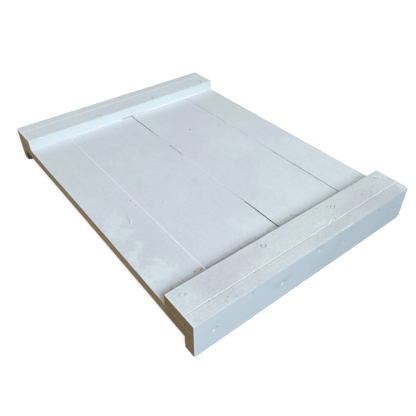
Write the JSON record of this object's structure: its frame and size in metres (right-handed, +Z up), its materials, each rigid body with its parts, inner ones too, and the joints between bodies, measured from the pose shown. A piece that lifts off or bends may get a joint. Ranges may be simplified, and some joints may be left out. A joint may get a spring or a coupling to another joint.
{
  "type": "migratory cover",
  "caption": "Flat wooden beehive lid: painted boards side by side, with a nailed cleat across each end whose lip hooks over the hive body.",
  "frame": {"origin": "under the middle of the cover, level with the bottom edges of the two fascias", "axes": "+X across the boards, +Y along the boards from the front cleat to the rear cleat, +Z up"},
  "size_m": [0.4128, 0.5502, 0.0612],
  "materials": {
    "painted_board": "pine with a brushed coat of bluish-white exterior paint on top, bare underneath and on its long edges",
    "painted_cleat": "planed pine with a brushed coat of bluish-white exterior paint, bare on its ends and below",
    "nail_steel": "galvanised round-headed nail, set and painted over"
  },
  "bodies": {
    "root": {"deck_board_1": "painted_board", "deck_board_2": "painted_board", "deck_board_3": "painted_board", "deck_board_4": "painted_board", "front_batten": "painted_cleat", "rear_batten": "painted_cleat", "front_fascia": "painted_cleat", "rear_fascia": "painted_cleat", "front_batten_nails": "nail_steel", "rear_batten_nails": "nail_steel", "front_fascia_lower_nails": "nail_steel", "rear_fascia_lower_nails": "nail_steel", "front_fascia_upper_nails": "nail_steel", "rear_fascia_upper_nails": "nail_steel"}
  },
  "joints": []
}
